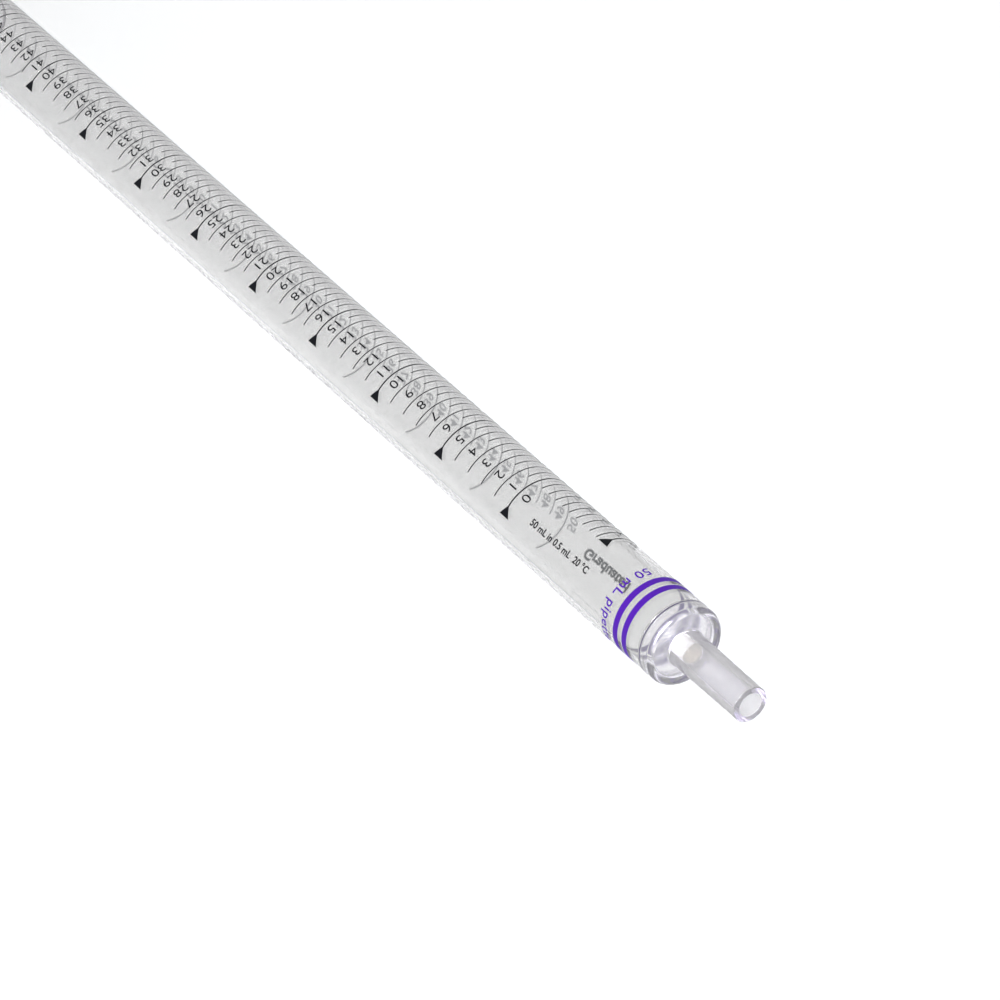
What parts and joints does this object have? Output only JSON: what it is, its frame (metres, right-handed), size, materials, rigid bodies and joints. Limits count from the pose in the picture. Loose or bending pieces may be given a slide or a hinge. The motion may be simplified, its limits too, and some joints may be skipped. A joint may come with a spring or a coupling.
{
  "type": "graduated pipette",
  "caption": "Clear graduated pipette: a long straight tube with a welded conical tip, a stepped mouthpiece with a filter plug, and two purple bands.",
  "frame": {"origin": "centre of the orifice, on the tip's flat end face, the lowest point of the pipette", "axes": "+Z along the pipette from the tip towards the mouth end, so that the scale reads upright; the scale faces -Y"},
  "size_m": [0.0182, 0.0182, 0.3476],
  "materials": {
    "clear_polystyrene": "gloss",
    "filter_fibre": "matte",
    "band_ink": "satin",
    "scale_ink": "satin"
  },
  "bodies": {
    "barrel": {"body_tube": "clear_polystyrene", "mouthpiece": "clear_polystyrene", "tip": "clear_polystyrene", "colour_band_lower": "band_ink", "colour_band_upper": "band_ink"},
    "plug": {"filter_plug": "filter_fibre"}
  },
  "joints": [
    {"name": "plug_pull", "type": "slide", "parent": "barrel", "child": "plug", "axis": [0, 0, 1], "range_m": [0, 0.03]}
  ]
}
